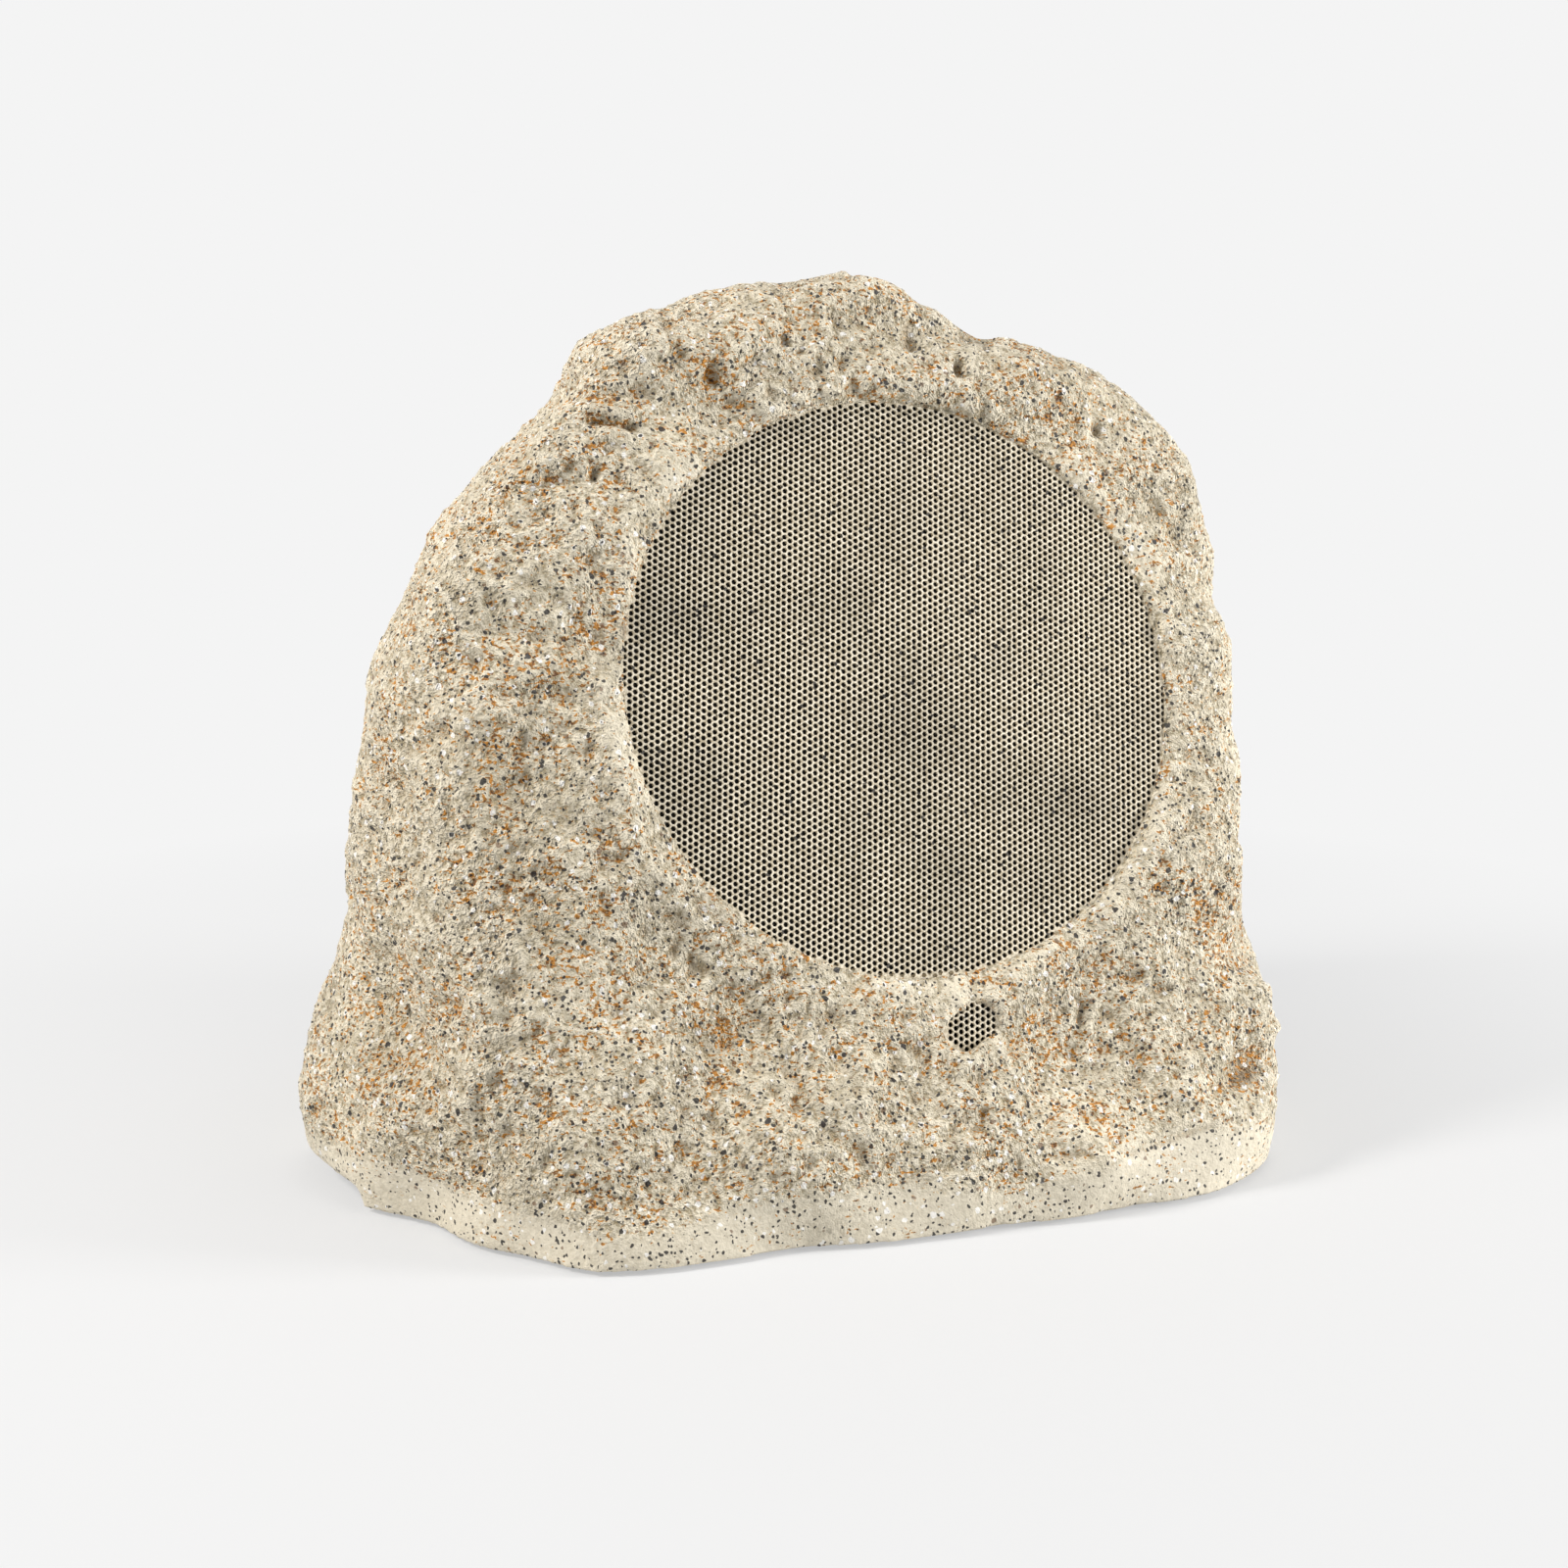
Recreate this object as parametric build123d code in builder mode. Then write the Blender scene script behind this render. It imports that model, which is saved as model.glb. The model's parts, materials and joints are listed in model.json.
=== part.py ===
"""Rock shaped garden speaker: a hollow moulded boulder with a coaxial driver behind a round grille.

Millimetres, +Z up. The origin is on the ground under the middle of the boulder. The grille looks
along -Y and leans back. Depths are counted from the front face into the boulder, along the
driver's axis.
"""

import os
from math import cos, exp, radians, sin, sqrt

from build123d import *

os.makedirs("parts", exist_ok=True)

# Boulder
boulder_height = 335
boulder_middle_x = 0
boulder_middle_y = 5
boulder_middle_z = 130
ground_gap = 1
wall = 8
rim_round = 3
edge_hardness = 14
skin_points = 84
skin_levels = 40
cavity_points = 24
cavity_levels = 9
swell_fade = 60

# Reach of each rock facet from the boulder's middle
left_front_reach = 171
left_back_reach = 159.5
right_front_reach = 177
right_back_reach = 180
back_reach = 117
left_shoulder_reach = 177
right_shoulder_reach = 206
back_shoulder_reach = 180
top_reach = 216

# Front face and grille
face_x = 20
face_y = -73.8
face_z = 189.3
face_lean = 19.5
grille_inset = 4
grille_sheet = 1.2
grille_rim_depth = 7
grille_gap = 0.3
grille_land = 5
grille_hole_radius = 6.5
grille_hole_pitch = 19
collar_wall = 6.5
collar_slope = 5
collar_flare = 9
cloth = 0.4

# Woofer, an eight inch chassis
flange_radius = 104
flange_gap = 1.5
flange_sheet = 2
seat_depth = 26
seat_width = 11.5
seat_thickness = 14
seal = 2
basket_gap = 1.5
basket_step = 7
basket_sheet = 1.6
trim_height = 2.5
trim_gap = 0.5
surround_sheet = 0.8
surround_land = 4
roll_width = 10
roll_rise = 6
roll_facets = 6
cone_sheet = 0.8
cone_lip = 5
neck_depth = 57
neck_length = 4
shelf_depth = 67
shelf_radius = 45
shelf_width = 10
spider_sheet = 0.6
spider_wave = 2.5
spider_waves = 4
spider_land = 3
coil_radius = 19.3
former_wall = 0.4
winding = 0.8
winding_length = 14
glue = 0.05
coil_air = 0.5
pole_air = 0.7
front_plate_depth = 80
front_plate_thickness = 7
front_plate_radius = 48
magnet_height = 18
magnet_radius = 52
magnet_bore = 26
yoke_plate = 6
yoke_radius = 48
yoke_chamfer = 2
woofer_screw_count = 8
window_count = 6
window_length = 22
window_width = 40
strip_length = 8
strip_width = 16
strip_thickness = 6

# Tweeter in front of the pole
tweeter_radius = 17
tweeter_depth = 29
tweeter_length = 17
tweeter_wall = 2
tweeter_face = 2.5
tweeter_motor_radius = 11
dome_radius = 10
dome_rise = 4
dome_film = 0.5
post_radius = 5

# Screws
screw_radius = 2
screw_head_radius = 4
screw_head = 2
screw_gap = 0.3

# Vent with its perforated window under the grille
vent_x = 9
vent_drop = 128
vent_radius = 10
vent_wall = 2
vent_length = 45
vent_inset = 1.2
vent_gap = 0.2
window_sheet = 1
hole_radius = 0.75
hole_pitch = 2.5

# Base
ledge_level = 12
ledge_thickness = 6
ledge_width = 14
gasket = 2
plate_thickness = 4
plate_gap = 1.5
base_screw_count = 8
foot_radius = 12
foot_chamfer = 1.5
foot_inset = 38
foot_bearings = (-140, -40, 40, 168)
relief_bearing = 184
relief_length = 70
relief_height = 8
grommet_bearing = 188
grommet_inset = 56
grommet_bore = 3.5
grommet_wall = 2.5
grommet_flange = 9
grommet_lip = 2

# Crossover on the base plate
board_x = -5
board_y = 40
board_length = 120
board_width = 80
board_thickness = 1.6
standoff_height = 8
standoff_radius = 3.5
standoff_margin = 6
board_screw = 1.5
coil_outer = 19
coil_hole = 8
coil_height = 15
capacitor_radius = 8
capacitor_height = 26
resistor_length = 40
resistor_width = 9
block_length = 24
block_width = 12
block_height = 11
coil_offsets = ((-32, 16), (34, -17))
capacitor_offsets = ((4, 28), (24, 28))
resistor_offsets = ((-28, -14), (-24, -27))
block_offset = (46, 17)

# Worked out from the sizes above
face_turn = radians(face_lean)
face_reach = (face_z - boulder_middle_z) * sin(face_turn) + (boulder_middle_y - face_y) * cos(face_turn)
seat_radius = flange_radius + flange_gap
grille_seat_radius = seat_radius + grille_land
grille_radius = grille_seat_radius - grille_gap
grille_seat_depth = grille_inset + grille_rim_depth
collar_radius = grille_seat_radius + collar_wall
opening_radius = seat_radius - seat_width
seat_back = seat_depth + seat_thickness
basket_radius = opening_radius - basket_gap
flange_depth = seat_depth - seal - flange_sheet
bolt_radius = (flange_radius + opening_radius) / 2
roll_outer = basket_radius - basket_sheet
cone_radius = roll_outer - roll_width
neck_radius = coil_radius + glue
pole_radius = coil_radius - former_wall - pole_air
coil_bore = coil_radius + glue + winding + coil_air
magnet_depth = front_plate_depth + front_plate_thickness
yoke_depth = magnet_depth + magnet_height
plate_bottom = ledge_level - gasket - plate_thickness
plate_top = ledge_level - gasket
board_bottom = plate_top + standoff_height
board_top = board_bottom + board_thickness
vent_front = vent_inset + window_sheet
vent_back = vent_front + vent_length
grommet_neck = grommet_bore + grommet_wall
screw_hole = screw_radius + screw_gap
pilot_radius = screw_radius + glue

front = Plane(
    origin=(face_x, face_y, face_z),
    x_dir=(1, 0, 0),
    z_dir=(0, -cos(face_turn), sin(face_turn)),
)
driver_axis = Axis(front.origin, front.z_dir)
profile_plane = Plane(origin=front.origin, x_dir=front.x_dir, z_dir=-front.y_dir)

# Bearing of each facet's outward normal (0 is +X, -90 the front), its tilt above level, its reach
facets = [
    (-90, face_lean, face_reach),
    (-151, 4, left_front_reach),
    (154, 7, left_back_reach),
    (-28, 4, right_front_reach),
    (17, -1, right_back_reach),
    (92, 10, back_reach),
    (165, 42, left_shoulder_reach),
    (-10, 63, right_shoulder_reach),
    (90, 52, back_shoulder_reach),
    (170, 80, top_reach),
]

# Swells and hollows: bearing, height, spread in degrees, spread in height, rise
swells = [
    # left side: skirt, pinch over it, waist, two bands, slope under the shoulder, shoulder
    (170, 36, 45, 33, 10),
    (165, 77, 30, 11, -3),
    (168, 105, 35, 28, -2),
    (165, 153, 30, 14, -3.5),
    (165, 222, 30, 12, -4),
    (175, 283, 50, 17, -9),
    (185, 312, 50, 12, 10),
    # right side: skirt knob, waist, bulge, pinch, shoulder, step under the peak
    (-25, 35, 35, 30, 8),
    (-25, 63, 25, 10, 5),
    (-27, 112, 30, 16, 4),
    (-27, 160, 30, 33, 5),
    (-23, 195, 25, 10, 4),
    (-27, 210, 30, 9, -4),
    (-20, 234, 25, 14, 2),
    (-18, 278, 25, 12, -3.5),
    (-12, 298, 50, 9, 9),
    (10, 317, 60, 7, -18),
    # flattened peak
    (170, 330, 60, 6, -5),
    # front: skirt, ridge at the left corner, hollow beside it, lump and hollow by the vent
    (-70, 22, 40, 30, 13),
    (-150, 70, 12, 70, 5),
    (-127, 95, 15, 45, -8),
    (-104, 40, 14, 22, 5),
    (-66, 62, 9, 20, -5),
    # left shoulder: ledge, hollow under it, hollow above it
    (-158, 278, 10, 8, 3),
    (-157, 265, 9, 9, -4),
    (-154, 302, 16, 9, -3),
    # left face from the top down: hollows, lump, hollow, ridge, hollow near the skirt
    (-149, 213, 8, 11, -3),
    (-145, 193, 6, 9, -3),
    (-160, 185, 7, 12, 3),
    (-148, 166, 9, 14, -3),
    (-151, 108, 7, 22, 2.5),
    (-161, 78, 9, 16, -3),
    # under the grille on the left: layered hollow
    (-119, 73, 9, 13, -4),
    # lower right: hollow, lump and the rough pocket at the corner
    (-56, 55, 6, 16, -4),
    (-50, 42, 5, 16, 2.5),
    (-43, 45, 5, 12, -5),
    # right of the grille: hollow
    (-20, 242, 8, 12, -4),
]

# Waves that cross over the skin: turns round it, turns up its height, shift in degrees, rise
waves = [
    (11, 3.2, 40, 0.9),
    (-14, 4.1, 200, 0.9),
    (7, -5.3, 310, 0.8),
    (17, 5.8, 345, 1.1),
    (-19, 5.2, 150, 1.1),
    (23, -1.5, 260, 0.9),
]


def boulder_radius(bearing, height):
    """Distance from the boulder's upright middle line to its skin, by bearing and height."""
    low = 0
    high = 2 * boulder_height
    for halving in range(30):
        radius = (low + high) / 2
        fill = 0
        for facet_bearing, tilt, reach in facets:
            level_part = radius * cos(radians(bearing - facet_bearing)) * cos(radians(tilt))
            upright_part = (height - boulder_middle_z) * sin(radians(tilt))
            fill += max(0, (level_part + upright_part) / reach) ** edge_hardness
        if fill < 1:
            low = radius
        else:
            high = radius
    rise = 0
    for swell_bearing, swell_height, spread, tall, lift in swells:
        turn = (bearing - swell_bearing + 180) % 360 - 180
        rise += lift * exp(-((turn / spread) ** 2) - ((height - swell_height) / tall) ** 2)
    for turns, climbs, shift, lift in waves:
        rise += lift * sin(radians(turns * bearing + 360 * climbs * height / boulder_height + shift))
    return low + rise * min(1, low / swell_fade)


def rim_point(bearing, height, inset):
    """Point at an inset from the boulder's skin, seen from above."""
    skin = boulder_radius(bearing, height)
    radius = max(skin - inset, skin / 2)
    return (
        boulder_middle_x + radius * cos(radians(bearing)),
        boulder_middle_y + radius * sin(radians(bearing)),
    )


def rim_outline(level, inset):
    """Outline of the boulder's foot at an inset, as a flat face at a level."""
    around = [rim_point(360 * i / skin_points, ledge_level, inset) for i in range(skin_points)]
    with BuildSketch(Plane.XY.offset(level)) as outline:
        with BuildLine():
            Polyline(*around, close=True)
        make_face()
    return outline.sketch


def faceted(rows):
    """Solid with flat three cornered facets between rows of points, closed by flat ends."""
    count = len(rows[0])
    skin = [rows[0], rows[-1]]
    for number in range(len(rows) - 1):
        lower = rows[number]
        upper = rows[number + 1]
        lead = number % 2
        for i in range(count):
            after = (i + 1) % count
            skin.append([lower[i], lower[after], upper[after if lead else i]])
            skin.append([upper[i], upper[after], lower[i if lead else after]])
    return Solid(Shell([Face(Wire.make_polygon(corners, close=True)) for corners in skin]))


def skin_rows(count, levels, bottom, top, inset, bottom_inset):
    """Rows of points on the boulder at an inset, each row turned half a step from the one below."""
    rows = []
    for number in range(levels):
        share = (1 - cos(radians(180 * number / (levels - 1)))) / 2
        level = bottom + share * (top - bottom)
        height = ground_gap + share * (boulder_height - ground_gap)
        turn = 0.5 * (number % 2)
        row_inset = bottom_inset if number == 0 else inset
        points = [rim_point(360 * (i + turn) / count, height, row_inset) for i in range(count)]
        rows.append([(x, y, level) for x, y in points])
    return rows


def turned(*outline, mode=Mode.ADD):
    """Solid turned about the driver's axis from points of radius and depth."""
    with BuildSketch(profile_plane) as profile:
        with BuildLine():
            Polyline(*[(radius, -depth) for radius, depth in outline], close=True)
        make_face()
    revolve(profile.sketch, axis=driver_axis, mode=mode)


def rods(plane, radius, length, places, mode=Mode.ADD):
    """Round rods that stand on a plane at the given places."""
    with BuildSketch(plane) as ends:
        with Locations(*places):
            Circle(radius)
    extrude(ends.sketch, amount=length, mode=mode)


def blocks(plane, length, width, height, places, mode=Mode.ADD):
    """Square blocks that stand on a plane at the given places."""
    with BuildSketch(plane) as ends:
        with Locations(*places):
            Rectangle(length, width)
    extrude(ends.sketch, amount=height, mode=mode)


def depth_plane(depth):
    """Plane square to the driver's axis, at a depth behind the front face."""
    return front.offset(-depth)


def ring_places(radius, count, start=0):
    """Places on a circle round the driver's axis."""
    turns = [radians(start + 360 * i / count) for i in range(count)]
    return [(radius * cos(turn), radius * sin(turn)) for turn in turns]


def perforate(plane, radius, length, pitch, limit, middle=(0, 0)):
    """Staggered six sided holes through a sheet, within a circle."""
    row = pitch * sqrt(3) / 2
    rows = int(limit / row)
    with BuildSketch(plane) as ends:
        for i in range(-rows, rows + 1):
            reach = int(sqrt(limit**2 - (i * row) ** 2) / pitch + 0.5 * (i % 2))
            for j in range(-reach, reach + 1 - i % 2):
                with Locations((middle[0] + i * row, middle[1] + (j + 0.5 * (i % 2)) * pitch)):
                    RegularPolygon(radius, 6)
    extrude(ends.sketch, amount=-length, mode=Mode.SUBTRACT)


def roll_point(middle, half_width, rise, turn, depth):
    """Point on a half round bead, by its turn from the outer edge."""
    return (middle + half_width * cos(radians(turn)), depth - rise * sin(radians(turn)))


def finish(piece, name):
    """Label one finished piece and write it to its own file."""
    piece.part.label = name
    export_step(piece.part, f"parts/{name}.step")


bolt_places = ring_places(bolt_radius, woofer_screw_count, 180 / woofer_screw_count)
base_bearings = [(i + 0.5) * 360 / base_screw_count for i in range(base_screw_count)]
base_screw_places = [rim_point(bearing, ledge_level, wall + ledge_width / 2) for bearing in base_bearings]
foot_places = [rim_point(bearing, ledge_level, foot_inset) for bearing in foot_bearings]
grommet_place = rim_point(grommet_bearing, ledge_level, grommet_inset)
vent_place = (vent_x, -vent_drop)
relief_turn = radians(relief_bearing)
relief_plane = Plane(
    origin=(*rim_point(relief_bearing, ledge_level, wall / 2), 0),
    x_dir=(-sin(relief_turn), cos(relief_turn), 0),
    z_dir=(0, 0, 1),
)
standoff_x = board_length / 2 - standoff_margin
standoff_y = board_width / 2 - standoff_margin
standoff_places = [(board_x + i * standoff_x, board_y + j * standoff_y) for i in (-1, 1) for j in (-1, 1)]
coil_places = [(board_x + x, board_y + y) for x, y in coil_offsets]
capacitor_places = [(board_x + x, board_y + y) for x, y in capacitor_offsets]
resistor_places = [(board_x + x, board_y + y) for x, y in resistor_offsets]
block_place = (board_x + block_offset[0], board_y + block_offset[1])

# Boulder shell: faceted skin and cavity, a ledge for the base plate, a collar with the driver's seat
with BuildPart() as rock_shell:
    add(faceted(skin_rows(skin_points, skin_levels, ground_gap, boulder_height, 0, rim_round)))
    add(
        faceted(skin_rows(cavity_points, cavity_levels, 0, boulder_height - wall, wall, wall)),
        mode=Mode.SUBTRACT,
    )
    extrude(rim_outline(0, wall), amount=ledge_level, mode=Mode.SUBTRACT)
    ledge = rim_outline(ledge_level, wall / 2) - rim_outline(ledge_level, wall + ledge_width)
    extrude(ledge, amount=ledge_thickness)
    turned(
        (opening_radius, 0),
        (collar_radius - collar_slope, 0),
        (collar_radius, collar_slope),
        (collar_radius, seat_back),
        (opening_radius, seat_back),
    )
    turned(
        (0, -boulder_height / 4),
        (collar_radius + collar_flare, -boulder_height / 4),
        (grille_seat_radius + collar_slope / 4, 0),
        (grille_seat_radius, grille_inset),
        (grille_seat_radius, grille_seat_depth),
        (seat_radius, grille_seat_depth),
        (seat_radius, seat_depth),
        (opening_radius, seat_depth),
        (opening_radius, seat_back),
        (0, seat_back),
        mode=Mode.SUBTRACT,
    )
    vent_bore = vent_radius + vent_wall + vent_gap
    rods(depth_plane(vent_back), vent_bore, vent_back + boulder_height / 4, [vent_place], Mode.SUBTRACT)
    rods(depth_plane(seat_back), pilot_radius, seat_thickness, bolt_places, Mode.SUBTRACT)
    rods(Plane.XY.offset(ledge_level), pilot_radius, ledge_thickness, base_screw_places, Mode.SUBTRACT)
    blocks(relief_plane, relief_length, 4 * wall, relief_height, [(0, 0)], Mode.SUBTRACT)
finish(rock_shell, "rock_shell")

# Grille: a dished sheet with staggered holes, and the cloth behind it
with BuildPart() as grille:
    grille_back = grille_inset + grille_sheet
    turned(
        (0, grille_inset),
        (grille_radius, grille_inset),
        (grille_radius, grille_seat_depth),
        (grille_radius - grille_sheet, grille_seat_depth),
        (grille_radius - grille_sheet, grille_back),
        (0, grille_back),
    )
    grille_limit = grille_radius - grille_hole_pitch / 2
    perforate(depth_plane(grille_inset), grille_hole_radius, grille_sheet, grille_hole_pitch, grille_limit)
finish(grille, "grille")

with BuildPart() as grille_cloth:
    cloth_radius = grille_radius - grille_sheet - grille_gap
    cloth_back = grille_back + cloth
    turned((0, grille_back), (cloth_radius, grille_back), (cloth_radius, cloth_back), (0, cloth_back))
finish(grille_cloth, "grille_cloth")

# Vent: a short tube and the perforated window that covers its mouth
with BuildPart() as vent_tube:
    rods(depth_plane(vent_back), vent_radius + vent_wall, vent_length, [vent_place])
    rods(depth_plane(vent_back), vent_radius, vent_length, [vent_place], Mode.SUBTRACT)
finish(vent_tube, "vent_tube")

with BuildPart() as vent_window:
    rods(depth_plane(vent_front), vent_radius + vent_wall, window_sheet, [vent_place])
    window_limit = vent_radius - hole_radius
    window_front = depth_plane(vent_front - window_sheet)
    perforate(window_front, hole_radius, window_sheet, hole_pitch, window_limit, vent_place)
finish(vent_window, "vent_window")

# Woofer, from the seal on its seat to the yoke at its back
with BuildPart() as woofer_seal:
    flange_back = flange_depth + flange_sheet
    turned(
        (opening_radius, flange_back),
        (flange_radius, flange_back),
        (flange_radius, seat_depth),
        (opening_radius, seat_depth),
    )
    rods(depth_plane(seat_depth), screw_hole, seal, bolt_places, Mode.SUBTRACT)
finish(woofer_seal, "woofer_seal")

with BuildPart() as woofer_basket:
    shelf_outer = shelf_radius + shelf_width
    step_depth = flange_back + basket_step
    turned(
        (flange_radius, flange_depth),
        (flange_radius, flange_back),
        (basket_radius, flange_back),
        (basket_radius, step_depth),
        (shelf_outer + basket_sheet, shelf_depth + basket_sheet),
        (shelf_radius + basket_sheet, shelf_depth + basket_sheet),
        (shelf_radius + basket_sheet, front_plate_depth),
        (magnet_bore, front_plate_depth),
        (magnet_bore, front_plate_depth - basket_sheet),
        (shelf_radius, front_plate_depth - basket_sheet),
        (shelf_radius, shelf_depth),
        (shelf_outer, shelf_depth),
        (roll_outer, step_depth),
        (roll_outer, flange_depth),
    )
    rods(depth_plane(flange_back), screw_hole, flange_sheet, bolt_places, Mode.SUBTRACT)
    with BuildSketch(depth_plane(shelf_depth + basket_sheet)) as window_sketch:
        with PolarLocations((shelf_outer + basket_radius) / 2, window_count):
            Rectangle(window_length, window_width)
        fillet(window_sketch.vertices(), window_length / 4)
    extrude(window_sketch.sketch, amount=shelf_depth + basket_sheet - step_depth, mode=Mode.SUBTRACT)
finish(woofer_basket, "woofer_basket")

with BuildPart() as surround:
    land_front = flange_depth - surround_sheet
    land_outer = roll_outer + surround_land
    roll_middle = (roll_outer + cone_radius) / 2
    roll_steps = [180 * i / roll_facets for i in range(roll_facets + 1)]
    half_roll = roll_width / 2
    under_roll = half_roll - surround_sheet
    roll_front = [roll_point(roll_middle, half_roll, roll_rise, turn, land_front) for turn in roll_steps]
    roll_back = [roll_point(roll_middle, under_roll, roll_rise, turn, flange_depth) for turn in roll_steps]
    turned(
        (land_outer, flange_depth),
        (land_outer, land_front),
        *roll_front,
        (cone_radius - cone_lip, land_front),
        (cone_radius - cone_lip, flange_depth),
        *reversed(roll_back),
    )
finish(surround, "surround")

with BuildPart() as trim_ring:
    trim_front = land_front - trim_height
    trim_inner = roll_outer + trim_gap
    turned(
        (trim_inner, trim_front),
        (flange_radius, trim_front),
        (flange_radius, flange_depth),
        (land_outer + trim_gap, flange_depth),
        (land_outer + trim_gap, land_front),
        (trim_inner, land_front),
    )
    rods(depth_plane(flange_depth), screw_hole, flange_depth - trim_front, bolt_places, Mode.SUBTRACT)
finish(trim_ring, "trim_ring")

with BuildPart() as woofer_screws:
    screw_tip = seat_back - seat_thickness / 4
    rods(depth_plane(trim_front), screw_head_radius, screw_head, bolt_places)
    rods(depth_plane(screw_tip), screw_radius, screw_tip - trim_front, bolt_places)
finish(woofer_screws, "woofer_screws")

with BuildPart() as cone:
    lip_inner = cone_radius - cone_lip
    neck_end = neck_depth + neck_length
    turned(
        (cone_radius, flange_depth),
        (cone_radius, flange_depth + cone_sheet),
        (lip_inner, flange_depth + cone_sheet),
        (neck_radius + cone_sheet, neck_depth),
        (neck_radius + cone_sheet, neck_end),
        (neck_radius, neck_end),
        (neck_radius, neck_depth - cone_sheet),
        (lip_inner, flange_depth),
    )
finish(cone, "cone")

with BuildPart() as coil_former:
    coil_middle = front_plate_depth + front_plate_thickness / 2
    coil_end = coil_middle + winding_length / 2
    former_inner = coil_radius - former_wall
    turned(
        (former_inner, neck_depth),
        (coil_radius, neck_depth),
        (coil_radius, coil_end),
        (former_inner, coil_end),
    )
finish(coil_former, "coil_former")

with BuildPart() as voice_coil:
    coil_start = coil_end - winding_length
    winding_outer = neck_radius + winding
    turned(
        (neck_radius, coil_start),
        (winding_outer, coil_start),
        (winding_outer, coil_end),
        (neck_radius, coil_end),
    )
finish(voice_coil, "voice_coil")

with BuildPart() as spider:
    spider_front = shelf_depth - spider_sheet
    wave_start = neck_radius + spider_land
    wave_step = (shelf_radius - wave_start) / spider_waves
    crests = [(wave_start, 0)]
    for i in range(spider_waves):
        crests.append((wave_start + (i + 0.5) * wave_step, spider_wave * (1 - 2 * (i % 2))))
    crests.append((shelf_radius, 0))
    crests.append((shelf_radius + shelf_width - spider_land / 2, 0))
    turned(
        (neck_radius, spider_front),
        *[(radius, spider_front - rise) for radius, rise in crests],
        *[(radius, shelf_depth - rise) for radius, rise in reversed(crests)],
        (neck_radius, shelf_depth),
    )
finish(spider, "spider")

with BuildPart() as terminal_strip:
    strip_back = shelf_depth + basket_sheet + strip_thickness
    strip_place = (0, -(shelf_radius + shelf_outer + basket_sheet) / 2 - basket_sheet / 2)
    blocks(depth_plane(strip_back), strip_width, strip_length, strip_thickness, [strip_place])
finish(terminal_strip, "terminal_strip")

with BuildPart() as front_plate:
    turned(
        (coil_bore, front_plate_depth),
        (front_plate_radius, front_plate_depth),
        (front_plate_radius, magnet_depth),
        (coil_bore, magnet_depth),
    )
finish(front_plate, "front_plate")

with BuildPart() as magnet:
    turned(
        (magnet_bore, magnet_depth),
        (magnet_radius, magnet_depth),
        (magnet_radius, yoke_depth),
        (magnet_bore, yoke_depth),
    )
finish(magnet, "magnet")

with BuildPart() as yoke:
    yoke_back = yoke_depth + yoke_plate
    turned(
        (0, front_plate_depth),
        (pole_radius, front_plate_depth),
        (pole_radius, yoke_depth),
        (yoke_radius, yoke_depth),
        (yoke_radius, yoke_back - yoke_chamfer),
        (yoke_radius - yoke_chamfer, yoke_back),
        (0, yoke_back),
    )
finish(yoke, "yoke")

# Tweeter on a post that stands on the pole
with BuildPart() as tweeter_post:
    tweeter_back = tweeter_depth + tweeter_length
    rods(depth_plane(front_plate_depth), post_radius, front_plate_depth - tweeter_back, [(0, 0)])
finish(tweeter_post, "tweeter_post")

with BuildPart() as tweeter_cup:
    cup_front = tweeter_depth + tweeter_face
    cup_inner = tweeter_radius - tweeter_wall
    turned(
        (0, tweeter_back),
        (tweeter_radius, tweeter_back),
        (tweeter_radius, cup_front),
        (cup_inner, cup_front),
        (cup_inner, tweeter_back - tweeter_wall),
        (0, tweeter_back - tweeter_wall),
    )
finish(tweeter_cup, "tweeter_cup")

with BuildPart() as tweeter_motor:
    dome_depth = cup_front + dome_rise
    motor_front = dome_depth + dome_film
    rods(
        depth_plane(tweeter_back - tweeter_wall),
        tweeter_motor_radius,
        tweeter_back - tweeter_wall - motor_front,
        [(0, 0)],
    )
finish(tweeter_motor, "tweeter_motor")

with BuildPart() as tweeter_dome:
    dome_flange = cup_inner - trim_gap
    dome_turns = [90 - 90 * i / roll_facets for i in range(roll_facets + 1)]
    dome_front = [roll_point(0, dome_radius, dome_rise, turn, dome_depth) for turn in dome_turns]
    under_radius = dome_radius - dome_film
    dome_under = [roll_point(0, under_radius, dome_rise, turn, motor_front) for turn in dome_turns]
    turned(*dome_front, (dome_flange, dome_depth), (dome_flange, motor_front), *reversed(dome_under))
finish(tweeter_dome, "tweeter_dome")

with BuildPart() as tweeter_plate:
    mouth = dome_radius + trim_gap
    turned(
        (mouth + tweeter_face, tweeter_depth),
        (tweeter_radius, tweeter_depth),
        (tweeter_radius, cup_front),
        (dome_flange, cup_front),
        (dome_flange, dome_depth),
        (mouth, dome_depth),
    )
finish(tweeter_plate, "tweeter_plate")

# Base: gasket, plate, screws, feet and the grommet for the cable
with BuildPart() as base_gasket:
    gasket_outer = rim_outline(plate_top, wall + plate_gap)
    gasket_inner = rim_outline(plate_top, wall + ledge_width)
    extrude(gasket_outer - gasket_inner, amount=gasket)
    rods(Plane.XY.offset(plate_top), screw_hole, gasket, base_screw_places, Mode.SUBTRACT)
finish(base_gasket, "base_gasket")

with BuildPart() as base_plate:
    extrude(rim_outline(plate_bottom, wall + plate_gap), amount=plate_thickness)
    plate_under = Plane.XY.offset(plate_bottom)
    rods(plate_under, screw_hole, plate_thickness, base_screw_places, Mode.SUBTRACT)
    rods(plate_under, grommet_neck + glue, plate_thickness, [grommet_place], Mode.SUBTRACT)
finish(base_plate, "base_plate")

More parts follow.
